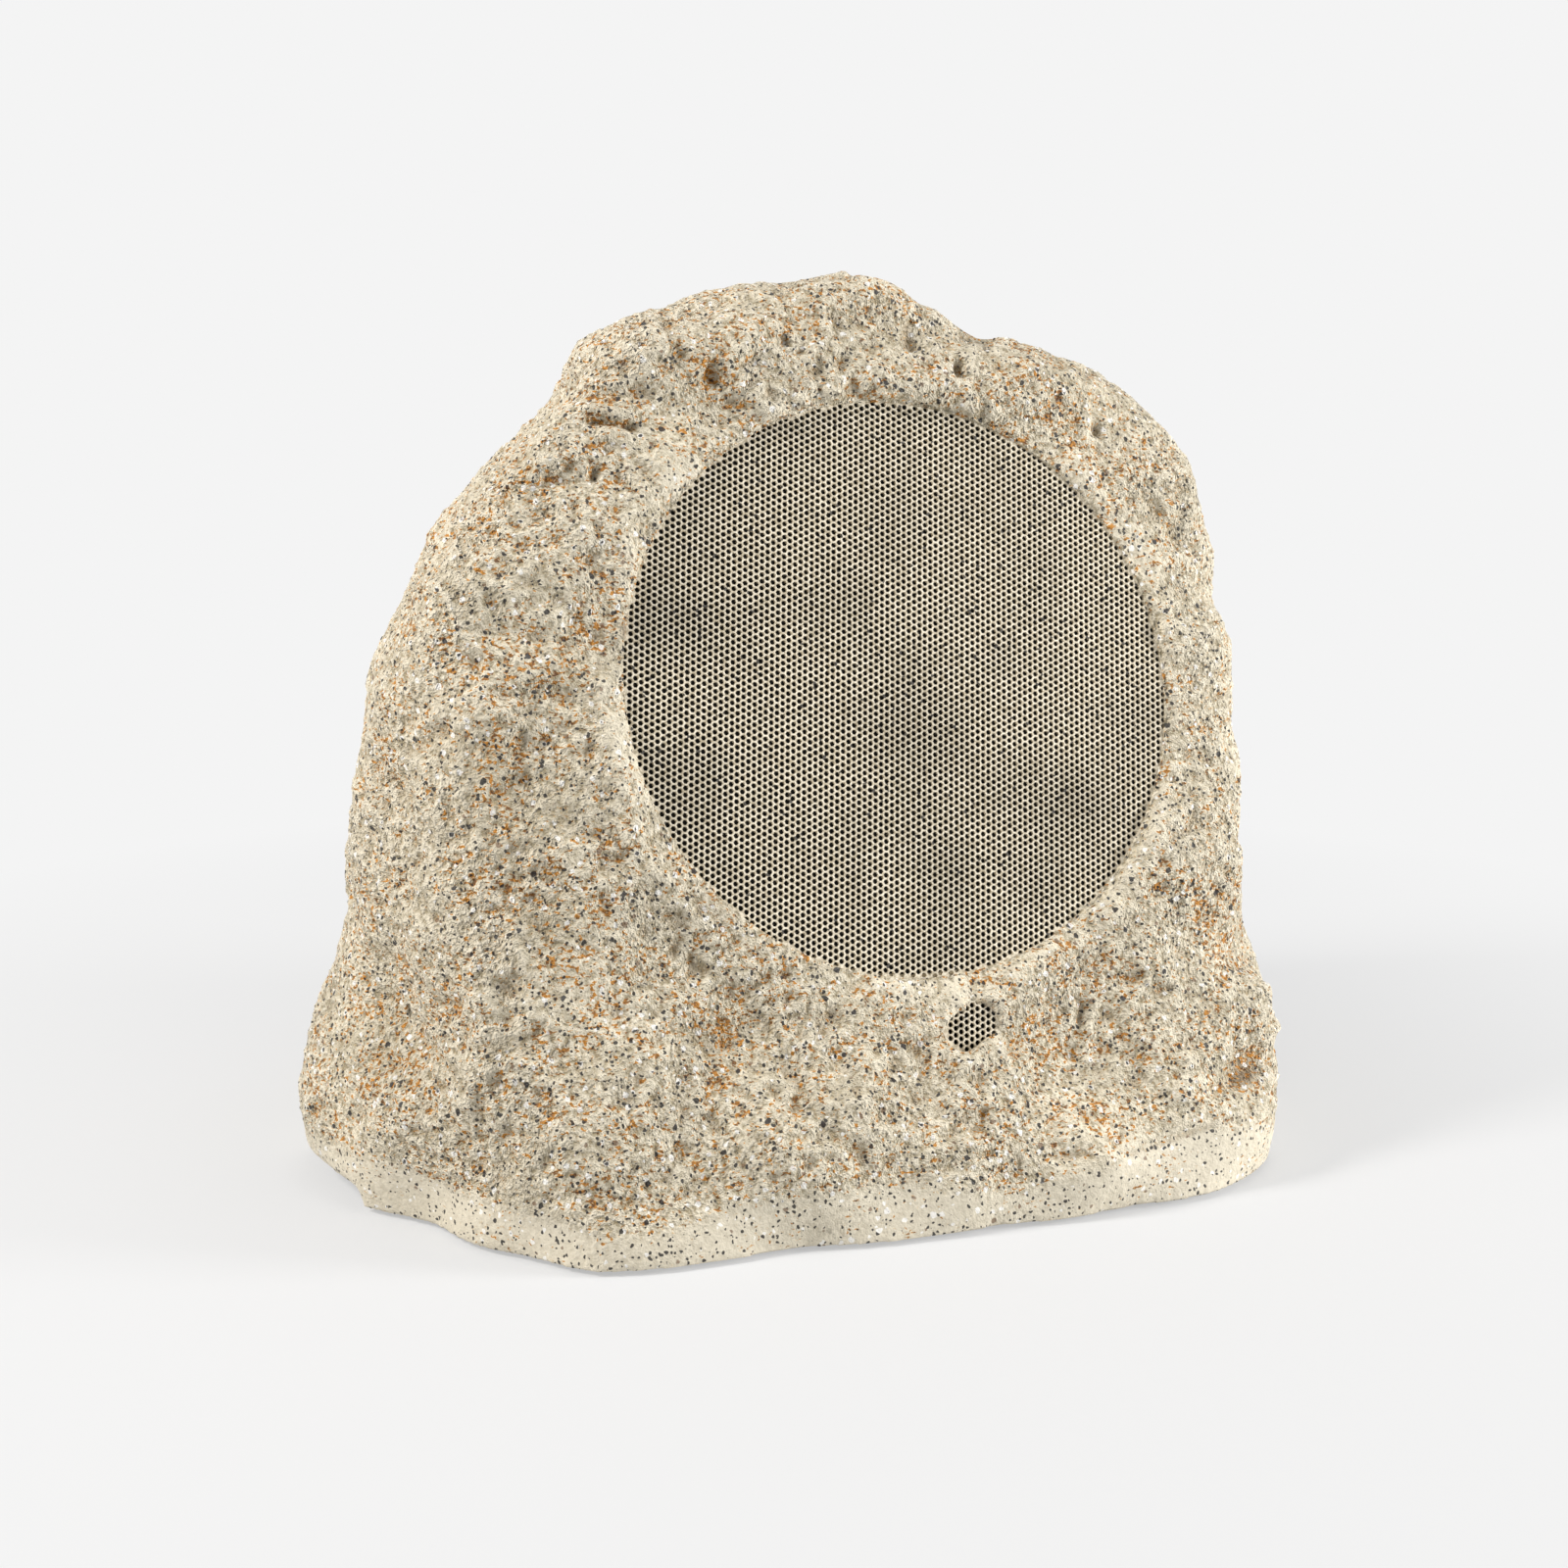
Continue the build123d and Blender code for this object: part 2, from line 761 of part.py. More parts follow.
with BuildPart() as base_screws:
    base_tip = ledge_level + ledge_thickness * 3 / 4
    rods(Plane.XY.offset(plate_bottom - screw_head), screw_head_radius, screw_head, base_screw_places)
    rods(Plane.XY.offset(plate_bottom), screw_radius, base_tip - plate_bottom, base_screw_places)
finish(base_screws, "base_screws")

with BuildPart() as rubber_feet:
    rods(Plane.XY, foot_radius, plate_bottom, foot_places)
    chamfer(rubber_feet.edges().group_by(Axis.Z)[0], foot_chamfer)
finish(rubber_feet, "rubber_feet")

with BuildPart() as cable_grommet:
    grommet_under = Plane.XY.offset(plate_bottom - grommet_lip)
    grommet_length = plate_thickness + 2 * grommet_lip
    rods(grommet_under, grommet_flange, grommet_lip, [grommet_place])
    rods(grommet_under, grommet_neck, grommet_length, [grommet_place])
    rods(Plane.XY.offset(plate_top), grommet_flange, grommet_lip, [grommet_place])
    rods(grommet_under, grommet_bore, grommet_length, [grommet_place], Mode.SUBTRACT)
finish(cable_grommet, "cable_grommet")

# Crossover: a board on standoffs with its parts
with BuildPart() as standoffs:
    rods(Plane.XY.offset(plate_top), standoff_radius, standoff_height, standoff_places)
    rods(Plane.XY.offset(plate_top), board_screw + glue, standoff_height, standoff_places, Mode.SUBTRACT)
finish(standoffs, "standoffs")

with BuildPart() as crossover_board:
    blocks(Plane.XY.offset(board_bottom), board_length, board_width, board_thickness, [(board_x, board_y)])
    rods(Plane.XY.offset(board_bottom), board_screw + glue, board_thickness, standoff_places, Mode.SUBTRACT)
finish(crossover_board, "crossover_board")

with BuildPart() as board_screws:
    rods(Plane.XY.offset(board_top), 2 * board_screw, board_screw, standoff_places)
    rods(Plane.XY.offset(plate_top), board_screw, board_top - plate_top, standoff_places)
finish(board_screws, "board_screws")

with BuildPart() as coils:
    rods(Plane.XY.offset(board_top), coil_outer, coil_height, coil_places)
    rods(Plane.XY.offset(board_top), coil_hole, coil_height, coil_places, Mode.SUBTRACT)
finish(coils, "coils")

with BuildPart() as capacitors:
    rods(Plane.XY.offset(board_top), capacitor_radius, capacitor_height, capacitor_places)
finish(capacitors, "capacitors")

with BuildPart() as resistors:
    blocks(Plane.XY.offset(board_top), resistor_length, resistor_width, resistor_width, resistor_places)
finish(resistors, "resistors")

with BuildPart() as terminal_block:
    blocks(Plane.XY.offset(board_top), block_width, block_length, block_height, [block_place])
finish(terminal_block, "terminal_block")
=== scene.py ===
"""Looks of the rock shaped garden speaker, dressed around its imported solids. Metres, +Z up."""

import json
import math

import bmesh
import bpy
import numpy as np
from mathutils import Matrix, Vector, noise


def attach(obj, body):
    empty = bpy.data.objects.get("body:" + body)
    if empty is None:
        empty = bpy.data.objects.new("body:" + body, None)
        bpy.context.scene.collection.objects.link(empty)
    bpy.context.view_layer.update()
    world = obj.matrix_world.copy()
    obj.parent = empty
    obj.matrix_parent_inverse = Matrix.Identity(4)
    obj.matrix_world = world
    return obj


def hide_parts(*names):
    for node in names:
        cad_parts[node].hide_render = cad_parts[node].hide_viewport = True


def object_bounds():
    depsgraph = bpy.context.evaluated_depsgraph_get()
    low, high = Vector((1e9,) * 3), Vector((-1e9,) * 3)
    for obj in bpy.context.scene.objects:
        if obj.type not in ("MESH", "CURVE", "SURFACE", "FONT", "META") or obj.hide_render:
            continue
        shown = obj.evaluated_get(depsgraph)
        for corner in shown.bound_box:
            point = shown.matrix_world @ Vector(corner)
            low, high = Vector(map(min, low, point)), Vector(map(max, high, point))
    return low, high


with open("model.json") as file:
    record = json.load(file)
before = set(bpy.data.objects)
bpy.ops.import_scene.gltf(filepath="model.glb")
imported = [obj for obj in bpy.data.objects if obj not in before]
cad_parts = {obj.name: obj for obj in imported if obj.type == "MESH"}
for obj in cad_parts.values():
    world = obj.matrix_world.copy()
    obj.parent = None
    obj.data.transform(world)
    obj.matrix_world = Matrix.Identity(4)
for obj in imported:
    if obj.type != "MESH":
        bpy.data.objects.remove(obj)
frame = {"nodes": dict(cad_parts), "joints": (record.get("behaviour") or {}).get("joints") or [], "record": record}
cad_low, cad_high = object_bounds()
MM = 0.001

# Camera, from the photograph
photo_side = 1600
focal_pixels = 2800
sensor = 36
camera_azimuth = -21.2
camera_elevation = 12
camera_place = Vector((-385.7, -993.0, 364.8)) * MM

# Rock: mesh. Pairs of values, here and below, are where a fade starts and where it ends.
rock_voxel = 1.75 * MM
cavity_share = 0.02
back_share = 0.15
core_height = 0.8
away_limit = -0.3 * MM
grille_margin = 12 * MM
grille_margin_depth = 20 * MM
vent_margin = 6 * MM
vent_margin_depth = 12 * MM
foot_margin = 6 * MM
smooth_rounds = 22
smooth_share = 0.6
smooth_least = 0.12
collar_land = 4 * MM
collar_keep = 7 * MM
foot_keep = (2 * MM, 8 * MM)
foot_lift = 2 * MM

# Rock: relief. A noise has its fall, the step between octaves and their number, a ridged one also offset
# and gain.
skirt_top = 26 * MM
skirt_fade = (0.55 * skirt_top, 1.1 * skirt_top)
skirt_wave = 4 * MM
skirt_wave_length = 23 * MM
skirt_rough = 0.25
skirt_lumps = 0.12
crest_fade = (240 * MM, 300 * MM)
crest_gain = 0.2
collar_fade = (5 * MM, 20 * MM)
collar_rough = 0.75
zone_size = 45 * MM
zone_noise = (1.0, 2.0, 2)
zone_shift = Vector((3, 1, 7))
zone_middle = 0.8
zone_swing = 0.5
zone_least = 0.4
lump_size = 30 * MM
lump_noise = (0.9, 2.1, 3)
lump_height = 1.9 * MM
chip_size = 10 * MM
chip_noise = (1.0, 2.2, 3, 1.0, 2.0)
chip_height = 1.9 * MM
chip_level = 1.1
grain_size = 4.5 * MM
grain_noise = (0.7, 2.0, 2)
grain_height = 0.9 * MM
mark_least = 0.3
mark_seen = (-0.35, 0.1)
hollow_rounds = 8

# Rock: its edges over the perforated sheets
lip_fade = (-2 * MM, 1 * MM)
vent_lip_fade = (-1 * MM, 2 * MM)
plain_land = (5 * MM, 8 * MM)
plain_land_depth = (-3 * MM, -1 * MM)
lip_reach = 2.0 * MM
lip_drop = 2.2 * MM
lip_grain = 0.6 * MM
vent_lip_reach = -0.4 * MM
vent_right_reach = 1.0 * MM
vent_squeeze = 5.6 * MM
vent_slant = math.radians(25)
pull_span = (1 * MM, 9 * MM)
pull_floor = (0.5 * MM, 1.5 * MM)
pull_front = (-14 * MM, -10 * MM)
drop_span = (-1 * MM, 8 * MM)
drop_floor = (-2.5 * MM, -1 * MM)
rust_ring = (0.5 * MM, 4 * MM)
rust_ring_zone = (-0.1, 0.3)

# Perforated sheets
hole_pitch = 2.5 * MM
hole_corner = 1.08 * MM
sheet = 1.2 * MM
lattice_turn = math.radians(-8)
rim_steps = 240
grille_rim_depth = 7 * MM
grille_plain_rim = 1.5 * MM
vent_rim_depth = 1.3 * MM
vent_plain_rim = 1.6 * MM
level_slack = 0.1 * MM

# Paint: sizes of its features. Specks: random number where they start, where they are largest, and their
# largest radius, in gaps.
shake_size = 1.6 * MM
shake_reach = 1.4 * MM
crumb_size = 2.4 * MM
paint_zone_size = 18 * MM
fleck_size = 2.2 * MM
fleck_stretch = (1, 1, 1.9)
coarse_gap = 3.4 * MM
fine_gap = 1.9 * MM
white_specks = (0.35, 1, 0.38)
pit_specks = (0.25, 0, 0.34)
coarse_specks = (0.75, 1, 0.38)
fine_specks = (0.05, 1, 0.43)
speck_edge = 0.06
skin_relief = 1.2 * MM
grille_shake_size = 1.2 * MM
grille_shake_reach = 1.0 * MM
grille_grain_size = 1.2 * MM
grille_cloud_size = 30 * MM
grille_gap = 3.0 * MM
grille_specks = (0.4, 1, 0.34)

# Paint: ramps, from a range of a number to a range of another, and how well rust and specks cover
crumb_ramp = (0.35, 0.59)
grey_ramp = (0.5, 0.3, 0, 0.4)
skirt_ramp = (0.2, 0.5, 0.25, 1)
# a painted highlight on ridges and painted shade in hollows
ridge_highlight_ramp = (-0.1, -0.7, 0, 0.7)
hollow_shade_ramp = (0.1, 0.8, 0, 0.4)
# the two spot ramps paint rust and painted shade
shade_and_stain_ramp = (0.2, 1.2, 0, 0.4)
deep_shade_and_stain_ramp = (0.8, 1.3, 0, 0.5)
rust_zone_ramp = (0.38, 0.62, 0.72, 0.595)
rust_rough_ramp = (0.2, 0.4, 0.07, -0.03)
rust_by_hollow = 0.05
rust_by_tint = 0.06
halo_ramp = (-0.06, 0, 0, 0.4)
rust_ramp = (0, 0.03)
rust_tone_ramp = (0.56, 0.36)
rust_cover = 0.95
white_cover = 0.8
pit_cover = 0.7
coarse_ramp = (0.2, 0.4)
black_cover = 0.95
gloss_ramp = (0.3, 0.7, 0.55, 0.8)
relief_ramp = (0.2, 0.8, 0.4, 3)
grille_tone_ramp = (0.38, 0.62)
grille_cloud_ramp = (0.5, 1.2, 0, 0.5)
grille_gloss_ramp = (0.3, 0.7, 0.5, 0.7)
grille_black_cover = 0.9

# Light, in metres and watts. The floor fades into the background between two reaches, by two shares.
background = (0.905, 0.905, 0.905, 1)
sky_tone = (0.95, 0.97, 1, 1)
sky_strength = 0.22
floor_tone = (0.62, 0.63, 0.645, 1)
floor_roughness = 0.9
floor_half = 1.5
floor_fade = (0.2, 0.6, 0.5, 1)
light_target = Vector((0, 0, 0.16))

# Soft boxes: name, place, side, power, colour
soft_boxes = [
    ("left_box", (-1.4, -0.05, 1.25), 0.5, 32, (1, 0.96, 0.91)),
    ("right_box", (1.48, -0.76, 0.5), 0.5, 30.5, (1, 0.98, 0.95)),
    ("top_box", (0.2, -0.1, 1.8), 1.0, 8, (1, 0.99, 0.97)),
]

# Marks of the photograph on the rock: from pixel, to pixel, half width in pixels, rise in millimetres
marks = [
    # left shoulder: the crack under its ledge, the ledge, pits and hollows
    ((602, 428), (645, 436), 4, -3.5),
    ((600, 418), (640, 422), 6, 1.5),
    ((607, 478), (607, 486), 5, -3.0),
    ((620, 460), (622, 461), 4, -1.2),
    ((631, 364), (640, 372), 9, -2.2),
    ((633, 398), (650, 402), 10, -2.0),
    ((584, 462), (522, 496), 8, 1.4),
    ((514, 500), (580, 478), 9, -1.6),
    ((602, 568), (600, 570), 6, -1.6),
    # left face: hollows and their bright edges
    ((481, 674), (484, 676), 10, -2.0),
    ((450, 723), (432, 742), 9, 1.6),
    ((581, 709), (570, 706), 9, -2.6),
    ((577, 660), (580, 662), 9, -1.6),
    ((536, 652), (546, 656), 12, -2.0),
    ((450, 748), (495, 764), 12, -2.0),
    ((490, 790), (534, 800), 20, -1.4),
    ((603, 756), (603, 786), 6, -1.6),
    ((640, 560), (616, 700), 14, 1.5),
    ((616, 700), (640, 850), 16, 2.0),
    ((640, 850), (724, 962), 16, 2.0),
    ((540, 770), (525, 900), 42, -4.5),
    ((530, 920), (570, 1000), 30, -2.5),
    ((430, 780), (446, 900), 14, 2.2),
    ((446, 906), (493, 1026), 18, 2.2),
    ((493, 1026), (478, 1130), 16, 2.2),
    ((395, 985), (430, 1090), 30, -2.5),
    ((527, 1008), (520, 1012), 11, -2.2),
    ((509, 1102), (500, 1106), 10, -2.2),
    ((493, 1120), (493, 1145), 5, -1.6),
    ((483, 929), (527, 932), 5, -1.6),
    ((572, 901), (560, 890), 12, -2.0),
    # under the grille on the left: layered hollow and the ridge beside it
    ((700, 1062), (760, 1056), 22, -1.6),
    ((738, 1013), (744, 1010), 9, -2.0),
    ((830, 1118), (880, 1126), 14, 1.8),
    ((802, 1095), (812, 1098), 9, -2.0),
    # rock over the upper edge of the small window
    ((974, 1013), (1014, 1020), 10, 3.0),
    ((1020, 1030), (1024, 1042), 8, 1.5),
    ((796, 1160), (796, 1180), 5, 1.2),
    # lower right: lumps, pits and the rough pocket
    ((1102, 1033), (1104, 1040), 6, -2.6),
    ((1112, 1050), (1110, 1085), 9, 1.6),
    ((1148, 1056), (1158, 1100), 13, -2.0),
    ((1250, 1108), (1272, 1084), 14, -3.6),
    ((1297, 1056), (1301, 1092), 18, 3.6),
    ((1004, 1134), (1006, 1136), 5, -2.2),
    ((993, 1154), (996, 1156), 6, -1.6),
    ((1110, 1139), (1110, 1141), 6, -1.6),
    ((1141, 1163), (1146, 1158), 8, -2.2),
    ((1026, 1074), (1032, 1098), 5, 1.2),
    ((1210, 1080), (1206, 1120), 9, 2.0),
    ((1288, 1012), (1300, 1040), 20, 5.0),
    ((1262, 972), (1266, 984), 9, -2.0),
    ((1066, 1183), (1114, 1178), 4, -1.2),
    ((1153, 1179), (1240, 1147), 4, -1.2),
    # right side: hollow beside the grille, pits up the edge
    ((1172, 507), (1208, 553), 8, -2.0),
    ((1204, 533), (1206, 536), 5, -2.0),
    ((1245, 708), (1246, 710), 4, -1.6),
    ((1251, 887), (1253, 890), 6, -2.6),
    ((1202, 795), (1203, 797), 4, -1.6),
    ((1215, 768), (1216, 770), 4, -1.4),
    ((1274, 893), (1274, 895), 6, 2.0),
    # peak and right shoulder: the notch with its hole, dents
    ((680, 318), (735, 300), 14, -4.0),
    ((858, 282), (892, 284), 24, 3.4),
    ((760, 292), (790, 290), 22, -2.0),
    ((926, 338), (934, 350), 8, -2.5),
    ((946, 360), (950, 368), 6, -2.0),
    ((724, 376), (728, 384), 7, -2.5),
    ((800, 340), (806, 346), 7, -1.6),
    ((850, 322), (858, 330), 7, -1.6),
    ((690, 352), (696, 358), 7, -1.8),
    ((770, 372), (778, 376), 6, -1.6),
    ((981, 370), (982, 378), 5, -6.0),
    ((984, 338), (1010, 343), 8, -3.5),
    ((950, 322), (962, 326), 9, 2.5),
    ((929, 346), (931, 348), 9, -1.8),
    ((1120, 436), (1122, 441), 5, -2.6),
    ((1081, 405), (1083, 410), 6, -1.8),
    ((1053, 385), (1054, 400), 4, -1.6),
    ((1078, 370), (1086, 373), 8, -2.0),
    ((1109, 379), (1112, 382), 6, -1.6),
    ((1016, 427), (1018, 428), 4, -2.0),
    ((1002, 420), (1004, 421), 4, -1.4),
    ((1077, 464), (1079, 466), 5, -1.6),
]

# Rusty and dark places of the photograph, their darkening partly rust and partly painted shade of pockets, hollows
# and the right shoulder; a negative strength thins the rust flecks: pixel, half width in pixels, strength
rust_and_shade_spots = [
    (1268, 1098, 26, 1.3),
    (1235, 1035, 24, 0.8),
    (1255, 930, 45, 0.6),
    (1150, 1080, 40, 0.4),
    (735, 1062, 40, 1.0),
    (610, 1200, 40, 0.5),
    (400, 1070, 60, 0.7),
    (500, 1080, 35, 0.5),
    (500, 770, 45, 0.8),
    (570, 690, 40, 0.8),
    (560, 940, 40, 0.8),
    (530, 850, 50, 0.6),
    (620, 425, 24, 0.9),
    (540, 490, 35, 0.6),
    (720, 375, 45, 0.6),
    (880, 330, 50, 0.4),
    (1060, 375, 40, 0.5),
    (1190, 530, 30, 0.6),
    (640, 640, 16, 0.8),
    (1000, 445, 30, 0.5),
    (1120, 410, 60, 0.5),
    (400, 860, 60, -0.8),
    (455, 960, 40, -0.6),
    (475, 1060, 26, -0.5),
    (1215, 680, 60, -0.3),
    (640, 500, 40, -0.3),
    (900, 1090, 60, -0.3),
]

# Dark clouds on the grille: pixel, half width in pixels, strength
grille_clouds = [
    (690, 640, 40, 0.5),
    (700, 570, 30, 0.3),
    (840, 630, 40, 0.3),
    (930, 760, 60, 0.5),
    (1095, 810, 40, 0.5),
    (970, 880, 45, 0.5),
    (1060, 900, 40, 0.3),
    (900, 520, 40, 0.2),
    (720, 800, 40, 0.3),
]


def copy_of(node, name):
    """New object with its own copy of a CAD node's mesh."""
    piece = bpy.data.objects.new(name, frame["nodes"][node].data.copy())
    bpy.context.scene.collection.objects.link(piece)
    return piece


def bake_modifiers(piece):
    """Replaces a piece's mesh by what its modifiers make of it."""
    bpy.context.view_layer.update()
    made = bpy.data.meshes.new_from_object(piece.evaluated_get(bpy.context.evaluated_depsgraph_get()))
    piece.modifiers.clear()
    piece.data = made


def points_of(mesh):
    """A mesh's points as rows of an array."""
    flat = np.zeros(len(mesh.vertices) * 3)
    mesh.vertices.foreach_get("co", flat)
    return flat.reshape(-1, 3)


def normals_of(mesh):
    """A mesh's point normals as rows of an array."""
    flat = np.zeros(len(mesh.vertices) * 3)
    mesh.vertex_normals.foreach_get("vector", flat)
    return flat.reshape(-1, 3)


def set_points(mesh, points):
    """Moves a mesh's points."""
    mesh.vertices.foreach_set("co", points.astype(np.float32).ravel())
    mesh.update()


def edges_of(mesh):
    """A mesh's edges as pairs of point numbers."""
    flat = np.zeros(len(mesh.edges) * 2, np.int32)
    mesh.edges.foreach_get("vertices", flat)
    return flat.reshape(-1, 2)


def mean_of_neighbours(values, edges):
    """The mean of each point's neighbours along the edges."""
    total = np.zeros_like(values)
    count = np.zeros(len(values))
    for one, other in ((0, 1), (1, 0)):
        np.add.at(total, edges[:, one], values[edges[:, other]])
        np.add.at(count, edges[:, one], 1)
    return total / np.maximum(count, 1).reshape(-1, *[1] * (values.ndim - 1))


def step(low, high, values):
    """Smooth step from 0 at low to 1 at high."""
    share = np.clip((values - low) / (high - low), 0, 1)
    return share * share * (3 - 2 * share)


def from_least(least, share):
    """From a least value at no share to 1 at a full share."""
    return least + (1 - least) * share


def keep_as(mesh, name, values):
    """Stores a number at each of a mesh's points, for its material."""
    mesh.attributes.new(name, "FLOAT", "POINT").data.foreach_set("value", values.astype(np.float32))


# The driver's own directions and the two perforated sheets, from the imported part
outward = Vector(frame["joints"][0]["axis"]).normalized()
across = Vector((1, 0, 0))
upward = outward.cross(across)
grille_points = points_of(frame["nodes"]["grille"].data)
window_points = points_of(frame["nodes"]["vent_window"].data)


def front_of(points):
    """Middle of a sheet's front and its radius, in the driver's directions."""
    places = [points @ np.array(direction) for direction in (across, upward, outward)]
    middle = [(place.min() + place.max()) / 2 for place in places[:2]] + [places[2].max()]
    radius = (places[0].max() - places[0].min()) / 2
    return across * middle[0] + upward * middle[1] + outward * middle[2], radius


grille_middle, grille_radius = front_of(grille_points)
window_middle, window_radius = front_of(window_points)

# Camera
turn = math.radians(camera_azimuth)
tilt = math.radians(camera_elevation)
camera_back = Vector((math.sin(turn) * math.cos(tilt), -math.cos(turn) * math.cos(tilt), math.sin(tilt)))
camera_right = Vector((math.cos(turn), math.sin(turn), 0))
camera_up = camera_back.cross(camera_right)
camera_data = bpy.data.cameras.new("camera")
camera_data.sensor_width = sensor
camera_data.lens = sensor * focal_pixels / photo_side
camera = bpy.data.objects.new("camera", camera_data)
camera.location = camera_place
camera.rotation_mode = "QUATERNION"
camera.rotation_quaternion = (-camera_back).to_track_quat("-Z", "Y")
bpy.context.scene.collection.objects.link(camera)
bpy.context.scene.camera = camera


def pixels_of(points):
    """Where points appear in the photograph."""
    offset = points - np.array(camera_place)
    far = -offset @ np.array(camera_back)
    x = photo_side / 2 + focal_pixels * (offset @ np.array(camera_right)) / far
    y = photo_side / 2 - focal_pixels * (offset @ np.array(camera_up)) / far
    return x, y


def mark_rise(points, normals):
    """How far the photograph's marks raise each point that the camera sees."""
    x, y = pixels_of(points)
    to_camera = np.array(camera_place) - points
    to_camera /= np.linalg.norm(to_camera, axis=1)[:, None]
    seen = step(*mark_seen, (normals * to_camera).sum(1))
    rise = np.zeros(len(points))
    for start, end, width, height in marks:
        run = np.array(end) - np.array(start)
        along = ((x - start[0]) * run[0] + (y - start[1]) * run[1]) / (run @ run)
        along = np.clip(along, 0, 1)
        gap = (x - start[0] - along * run[0]) ** 2 + (y - start[1] - along * run[1]) ** 2
        rise += height * MM * np.exp(-gap / width**2)
    return rise * seen


def tint_of(points, places):
    """How strongly the photograph's listed places tint each point: rust with painted shade on the rock, dark
    clouds on the grille.
    """
    x, y = pixels_of(points)
    total = np.zeros(len(points))
    for spot_x, spot_y, width, strength in places:
        total += strength * np.exp(-((x - spot_x) ** 2 + (y - spot_y) ** 2) / width**2)
    return total


def from_axis(points, middle):
    """Distance from a sheet's axis, and depth behind its front."""
    offset = points - np.array(middle)
    depth = -offset @ np.array(outward)
    level = offset + depth[:, None] * np.array(outward)
    return np.linalg.norm(level, axis=1), depth


def thin_out(rock, core, part, share):
    """Leaves a share of the faces in the rock's cavity or on its far side, apart from its rims."""
    points = points_of(rock.data)
    normals = normals_of(rock.data)
    inward = (normals * (points - core)).sum(1) < 0
    collar, depth = from_axis(points, grille_middle)
    vent, vent_depth = from_axis(points, window_middle)
    rim = (collar < grille_radius + grille_margin) & (depth < grille_margin_depth)
    rim |= (vent < window_radius + vent_margin) & (vent_depth < vent_margin_depth)
    rim |= points[:, 2] < foot_margin
    away = (normals * (np.array(camera_place) - points)).sum(1) < away_limit
    chosen = (inward if part == "cavity" else away & ~inward) & ~rim
    group = rock.vertex_groups.new(name=part)
    group.add(np.flatnonzero(chosen).tolist(), 1, "REPLACE")
    thin = rock.modifiers.new("thin", "DECIMATE")
    thin.ratio = 1 - (1 - share) * chosen.mean()
    thin.vertex_group = part
    bake_modifiers(rock)
    rock.vertex_groups.clear()


def softened(points, edges):
    """The rock's points after smoothing, which spares its rims and its foot."""
    collar = from_axis(points, grille_middle)[0]
    vent = from_axis(points, window_middle)[0]
    free = step(0, collar_keep, collar - grille_radius - collar_land)
    free *= step(0, collar_keep, vent - window_radius)
    free *= step(*foot_keep, points[:, 2])
    share = smooth_share * from_least(smooth_least, free)[:, None]
    for _ in range(smooth_rounds):
        points += share * (mean_of_neighbours(points, edges) - points)
    return points


def pull_lips(points, grain):
    """Draws the rock's edges over the grille's rim, and over the small window's to a slanted oval."""
    short_way = np.array(upward * math.cos(vent_slant) - across * math.sin(vent_slant))
    edges_round = (
        (grille_middle, grille_radius, lip_reach, 0, 0, lip_drop),
        (window_middle, window_radius, vent_lip_reach, vent_squeeze, vent_right_reach, 0),
    )
    for middle, radius, reach, squeeze, right_reach, drop in edges_round:
        gap, depth = from_axis(points, middle)
        front = step(*pull_front, depth)
        near = (1 - step(*pull_span, np.abs(gap - radius))) * (1 - step(*pull_floor, depth)) * front
        aim = np.array(middle) - np.array(outward) * depth[:, None] - points
        aim /= np.maximum(gap, 1 * MM)[:, None]
        pull = reach + squeeze * (aim @ short_way) ** 2 + lip_grain * grain
        pull += right_reach * np.maximum(-aim @ np.array(across), 0)
        points += aim * (near * pull)[:, None]
        edge = (1 - step(*drop_span, gap - radius)) * (1 - step(*drop_floor, depth))
        points -= np.array(outward) * (drop * edge * front)[:, None]


